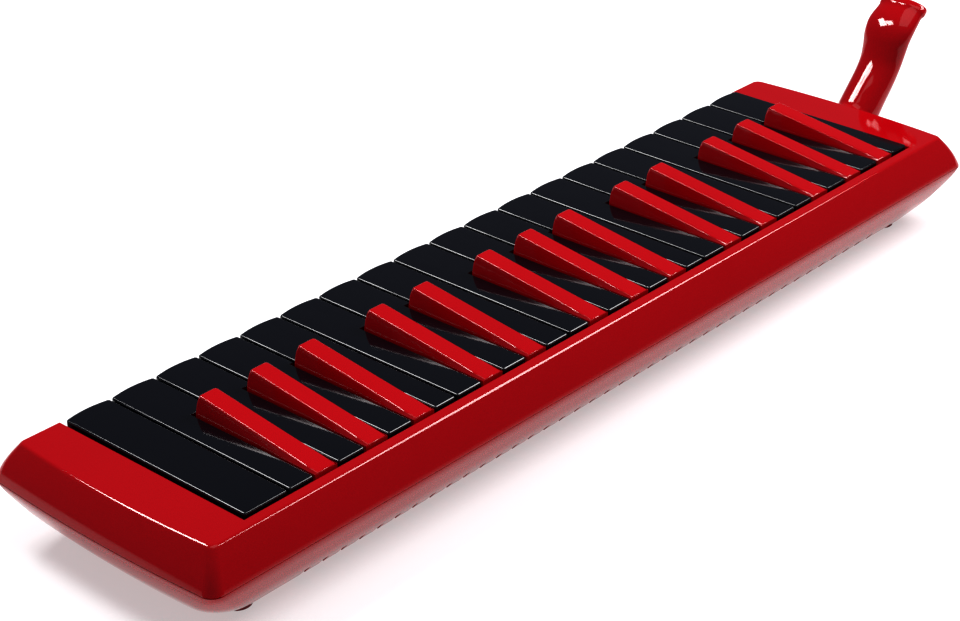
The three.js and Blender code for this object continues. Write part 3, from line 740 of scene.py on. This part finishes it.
print("natural key tree:", len(g.tree.nodes), "nodes")

# %% The lever under each key
AXLE_Y, AXLE_Z, BORE_R = 22.5, 29.0, 1.75
VALVE_Y, PAD_LOW, PAD_HIGH, PAD_HALF_WIDE, PAD_HALF_LONG = 36.5, 24.6, 26.3, 4.1, 5
WEB_HALF = 1.6
WEB = [(8, 31), (14, 29), (18.5, 25.8), (27, 25.8), (30, 26.1), (43, 26.1), (43, 38.6), (8, 38.6)]


def add_lever(cap, x):
    web = loft("web", [[(x + side, py, pz) for py, pz in WEB] for side in (-WEB_HALF, WEB_HALF)])
    pad = block("pad", x - PAD_HALF_WIDE, x + PAD_HALF_WIDE, VALVE_Y - PAD_HALF_LONG,
                VALVE_Y + PAD_HALF_LONG, PAD_LOW, PAD_HIGH)
    bore = rod("bore", x - 5, x + 5, AXLE_Y, AXLE_Z, BORE_R, 24)
    return carve(cap, ("UNION", web), ("UNION", pad), ("DIFFERENCE", bore))


# %% Round the corners and the rim of a key
SAME, NEAR = 1e-6, 0.02  # metres apart for one point, millimetres from a named corner
CORNER_ROUND, RIM_FROM = 0.9, 39.5


def is_corner(edge, corners):
    a, b = (v.co for v in edge.verts)
    stands = abs(a.x - b.x) < SAME and abs(a.y - b.y) < SAME
    return stands and any(abs(a.x / MM - cx) < NEAR and abs(a.y / MM - cy) < NEAR
                          for cx, cy in corners)


def is_rim(edge):
    return (min(v.co.z for v in edge.verts) > RIM_FROM * MM and len(edge.link_faces) == 2
            and edge.calc_face_angle() > math.radians(40)
            and max(abs(f.normal.z) for f in edge.link_faces) > 0.9)


def round_key(obj, corners=(), rim_width=0.7):
    shape = bmesh.new()
    shape.from_mesh(obj.data)
    bmesh.ops.remove_doubles(shape, verts=shape.verts, dist=SAME)
    bmesh.ops.dissolve_limit(shape, angle_limit=math.radians(0.5), verts=shape.verts,
                             edges=shape.edges)
    standing = [e for e in shape.edges if is_corner(e, corners)]
    if standing:
        bmesh.ops.bevel(shape, geom=standing, offset=CORNER_ROUND * MM, segments=4, profile=0.5,
                        affect="EDGES", clamp_overlap=True)
    shape.normal_update()
    rim = [e for e in shape.edges if is_rim(e)]
    bmesh.ops.bevel(shape, geom=rim, offset=rim_width * MM, segments=3, profile=0.45,
                    affect="EDGES", clamp_overlap=bool(corners))
    bmesh.ops.triangulate(shape, faces=[f for f in shape.faces if len(f.verts) > 4])
    print(obj.name, "has", len(rim), "rounded rim edges")
    shape.to_mesh(obj.data)
    shape.free()


# %% The 19 naturals
REACH = SHARP_FOOT + SIDE_GAP
CUT_CLEAR = 0.05  # a side with no sharp is cut just outside the cap, which leaves it whole
for k in range(NATURALS):
    x0, x1 = edge_x(k) + GAP / 2, edge_x(k + 1) - GAP / 2
    r0 = sharps[k] + REACH if k in sharps else x0
    r1 = sharps[k + 1] - REACH if k + 1 in sharps else x1
    clear0, clear1 = (CUT_CLEAR if r0 == x0 else 0), (CUT_CLEAR if r1 == x1 else 0)
    key = naturals.run(points_at("natural_" + note(k)), Left=x0 * MM, Right=x1 * MM,
                       Rear_left=(r0 - clear0) * MM, Rear_right=(r1 + clear1) * MM)
    round_key(key, [(x0, KEY_FRONT), (x1, KEY_FRONT), (r0, KEY_REAR), (r1, KEY_REAR)])
    add_lever(key, (r0 + r1) / 2)
    soften(key)
    hand_over(key, key_black, "key_" + note(k), "key_black", "key_" + note(k))

# %% [markdown]
# ## The sharps
# A sharp is a wedge: high and blunt in front, falling in a straight line to the level of the
# naturals at the rear, and a little narrower on top than at its foot. Its front leans back, and
# its front corners are rounded a little more above than below. Every one of these words is a
# rule, so the tree takes a plain grid block and moves each of its points by formula. Its rim is
# then rounded like the naturals', but more finely.

# %% One recipe for every sharp
wedge = Recipe("Sharp key", Middle=0.0, Front=SHARP_FRONT * MM, Rear=SHARP_REAR * MM,
               Base=0.0340, Shoulder=0.0396, Top_front=0.0479, Top_rear=0.0402, Lean=0.0016,
               Foot=SHARP_FOOT * MM, Crown=SHARP_CROWN * MM, Round_low=0.001, Round_high=0.0012)
g = wedge
grid = g.cube(-1.0, 1.0, 0.0, 1.0, 0.0, 1.0, (19, 10, 11))
place = g.node("GeometryNodeInputPosition")
u, v, w = [g.node("ShaderNodeSeparateXYZ", inputs={0: place}, out=axis) for axis in (0, 1, 2)]
side = (u * (math.pi / 2)).sum("SINE")
SHOULDER_SHARE = 0.4  # the part of the grid's height that lies below the shoulder
low_part = (w / SHOULDER_SHARE).least(1.0)
up = ((w - SHOULDER_SHARE) / (1 - SHOULDER_SHARE)).most(0.0)
half = g.Foot + up * (g.Crown - g.Foot)
round_by = g.Round_low + up * (g.Round_high - g.Round_low)
turn = ((abs(side) * half - half + round_by).most(0.0) / round_by).least(1.0)
set_back = round_by * (1 - (1 - turn * turn).most(0.0).sum("SQRT")) * (v < 0.01)
front, rear = g.Front + g.Lean * up * up * up, g.Rear
y = front + v * (rear - front) + set_back
crest = g.Top_front + (y - g.Front) / (g.Rear - g.Front) * (g.Top_rear - g.Top_front)
z = g.Base + low_part * (g.Shoulder - g.Base) + up * (crest - g.Shoulder)
body = g.node("GeometryNodeSetPosition", inputs={
    "Geometry": grid, "Position": g.vector(g.Middle + side * half, y, z)})
g.finish(body, key_red)
print("sharp key tree:", len(g.tree.nodes), "nodes")

# %% The 13 sharps
REAR_WALL, SHARP_RIM = 1.6, 0.55
# The room inside, below and above: half width, wall in front, height in front, height behind.
HOLLOW = ((3.8, 1.6, 33, 33), (2.8, 3.8, 45, 38.4))
for k, x in sharps.items():
    name = note(k - 1, "s")
    key = wedge.run(points_at("sharp_" + name), Middle=x * MM)
    round_key(key, rim_width=SHARP_RIM)
    front, rear = SHARP_FRONT, SHARP_REAR - REAR_WALL
    room = loft("room", [[(x - h, front + wall, z0), (x + h, front + wall, z0),
                          (x + h, rear, z1), (x - h, rear, z1)] for h, wall, z0, z1 in HOLLOW])
    carve(key, ("DIFFERENCE", room))
    add_lever(key, x)
    soften(key)
    hand_over(key, key_red, "key_" + name, "key_red", "key_" + name)

# %% [markdown]
# ## The mouthpiece
# The mouthpiece leaves the end of the case as a round tube, bends up, and spreads into a broad
# flat tip with a lip round its mouth. A curve with a bevel has one section all the way, so this
# is a loft again: a list of stations along the middle line, each with its climb, half width and
# half depth, smoothed between them, out along the skin and back through the airway.

# %% Stations along the tube
STATIONS = [  # x from the middle of the case, z, climb in degrees, half width, half depth
    (-222, 26.5, 0, 9, 9), (-225.6, 27, 15, 9.3, 9.0), (-229, 28.6, 30, 9.7, 9.0),
    (-232, 31.4, 43, 9.9, 8.7), (-237.0, 36.8, 46, 9.9, 8.1), (-242.6, 42.8, 50, 10.0, 7.4),
    (-247.0, 48.8, 62, 10.2, 6.7), (-249.4, 54.6, 72, 10.8, 6.1), (-251.2, 60.4, 66, 11.6, 5.5),
    (-254.6, 65.2, 46, 12.0, 5.0), (-260.4, 69.4, 32, 11.4, 4.4)]
ROUND_UP_TO = 10  # a wider section than this is squared a little


def smoothed(points, per_gap):
    result = []
    for k in range(len(points) - 1):
        a, b = points[max(k - 1, 0)], points[k]
        c, d = points[k + 1], points[min(k + 2, len(points) - 1)]
        for step in range(per_gap):
            t = step / per_gap
            result.append(tuple(
                0.5 * (2 * q + (r - p) * t + (2 * p - 5 * q + 4 * r - s) * t * t
                       + (3 * q - p - 3 * r + s) * t ** 3) for p, q, r, s in zip(a, b, c, d)))
    return result + [points[-1]]


def section(station):
    x, z, climb, wide, deep = station
    climb = math.radians(climb)
    flat = max(0.0, min(1.0, (wide - ROUND_UP_TO) / 4))
    power = 2 / (2 + 0.5 * flat)
    ring = []
    for a in turns(64):
        ca, sa = math.cos(a), math.sin(a)
        across = wide * math.copysign(abs(ca) ** power, ca)
        through = deep * math.copysign(abs(sa) ** power, sa)
        ring.append((CENTRE_X + x - math.sin(climb) * through, MOUTH_Y + across,
                     z - math.cos(climb) * through))
    return ring


# %% The mouthpiece as one closed skin
tube = smoothed(STATIONS, 5)
WALL_OF_TUBE, AIRWAY_R = 2.1, 4.8
# The plug that sits in the socket, with the groove for its seal ring: x, radius.
plug = [(-206, 6.6), (-206.1, 6.8), (-206.5, 6.9), (-208.6, 6.9), (-208.6, 5.9), (-211.2, 5.9),
        (-211.2, 6.9), (-221, 6.9), (-221, 8.7), (-221.3, 9)]
outside = [(x, SOCKET_Z, 0, r, r) for x, r in plug] + tube
lip = [(-261.4, 70, 31, 11.5, 4.45), (-262.0, 70.35, 30, 11.8, 4.7),
       (-262.6, 70.7, 30, 11.9, 4.8), (-264.2, 71.6, 30, 11.7, 4.65),
       (-264.9, 72.0, 30, 11.4, 4.35), (-265.15, 72.15, 30, 11.1, 4.05),
       (-265.2, 72.18, 30, 10.8, 3.75), (-265.2, 72.18, 30, 10.3, 3.25),
       (-265.05, 72.1, 30, 10.0, 2.95), (-264.6, 71.85, 30, 9.8, 2.75)]
inside = [(x, z, c, wide - WALL_OF_TUBE, deep - WALL_OF_TUBE)
          for x, z, c, wide, deep in reversed(tube)]
inside += [(x, SOCKET_Z, 0, AIRWAY_R, AIRWAY_R) for x in (-215, -206)]
mouthpiece = loft("mouthpiece_shell", [section(one) for one in outside + lip + inside],
                  back_to_start=True)
soften(mouthpiece)
hand_over(mouthpiece, case_red, "mouthpiece", "case_red", "mouthpiece")

# %% [markdown]
# ## The spit valve's button and the parts inside
# The button has the shape of something turned on a lathe: a disc on a stem, with a rounded rim.
# Two closed rods joined by a Boolean give it, and a Bevel rounds its edges. The parts inside
# keep the shapes of the frame, since only their finish was missing: grey plastic for the board,
# cover and socket, brass for the reed plates, steel for axle and springs, felt and rubber.

# %% Button
STEM_R = 1.5
button = carve(rod("spit_button", CENTRE_X - 219.2, CENTRE_X - 216.9, SPIT_Y, SPIT_Z, SPIT_R),
               ("UNION", rod("stem", CENTRE_X - 217.5, CENTRE_X - 208.6, SPIT_Y, SPIT_Z,
                             STEM_R, 32)))
soften(button, 0.45 * MM, 4)
hand_over(button, case_red, "spit_valve", "case_red", "spit_valve_button")

# %% Finishes for the parts that keep the frame's shape
INSIDE = {
    inner_plastic: ["valve_board", "chamber_cover", "inlet_socket"],
    reed_brass: ["reed_plate_low", "reed_plate_high"],
    steel: ["key_axle", "spring_comb", "spit_valve_spring"],
    black_rubber: ["chamber_gasket", "mouthpiece_seal", "spit_valve_seal"],
    felt: ["key_stop_felt"],
}
for finish, names in INSIDE.items():
    for name in names:
        slots_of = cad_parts[name].material_slots
        for slot in slots_of:
            slot.material = finish
        print(name, "is", finish.name, "in", len(slots_of), "slot")

# %% [markdown]
